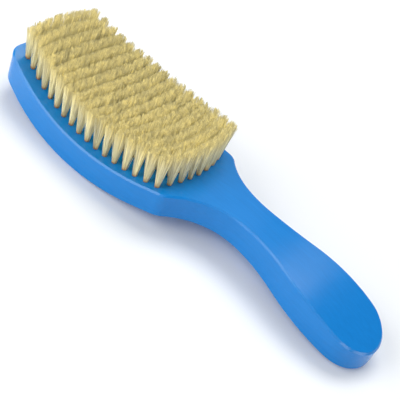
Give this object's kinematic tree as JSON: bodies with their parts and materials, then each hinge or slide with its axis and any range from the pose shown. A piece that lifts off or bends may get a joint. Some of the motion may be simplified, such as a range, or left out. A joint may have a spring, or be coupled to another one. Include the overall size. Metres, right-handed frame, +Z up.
{
  "type": "fade brush",
  "caption": "Flat hand brush with a curved one-piece block: a wide head full of bristle tufts and a slim club handle.",
  "frame": {"origin": "under the middle of the brush, on the table that it lies on, halfway along its length and width", "axes": "+X along the brush from the tip of the head to the end of the handle, +Y across it, +Z up, the way the bristles point"},
  "size_m": [0.215, 0.0658, 0.0396],
  "materials": {
    "blue_lacquer": "gloss",
    "bristle": "natural",
    "anchor_metal": "brushed"
  },
  "bodies": {
    "root": {"brush_block": "blue_lacquer", "tuft_row_01": "bristle", "tuft_row_02": "bristle", "tuft_row_03": "bristle", "tuft_row_04": "bristle", "tuft_row_05": "bristle", "tuft_row_06": "bristle", "tuft_row_07": "bristle", "tuft_row_08": "bristle", "tuft_row_09": "bristle", "tuft_row_10": "bristle", "tuft_row_11": "bristle", "tuft_row_12": "bristle", "tuft_row_13": "bristle", "tuft_row_14": "bristle", "tuft_row_15": "bristle", "tuft_row_16": "bristle", "tuft_row_17": "bristle", "anchor_row_01": "anchor_metal", "anchor_row_02": "anchor_metal", "anchor_row_03": "anchor_metal", "anchor_row_04": "anchor_metal", "anchor_row_05": "anchor_metal", "anchor_row_06": "anchor_metal", "anchor_row_07": "anchor_metal", "anchor_row_08": "anchor_metal", "anchor_row_09": "anchor_metal", "anchor_row_10": "anchor_metal", "anchor_row_11": "anchor_metal", "anchor_row_12": "anchor_metal", "anchor_row_13": "anchor_metal", "anchor_row_14": "anchor_metal", "anchor_row_15": "anchor_metal", "anchor_row_16": "anchor_metal", "anchor_row_17": "anchor_metal"}
  },
  "joints": []
}
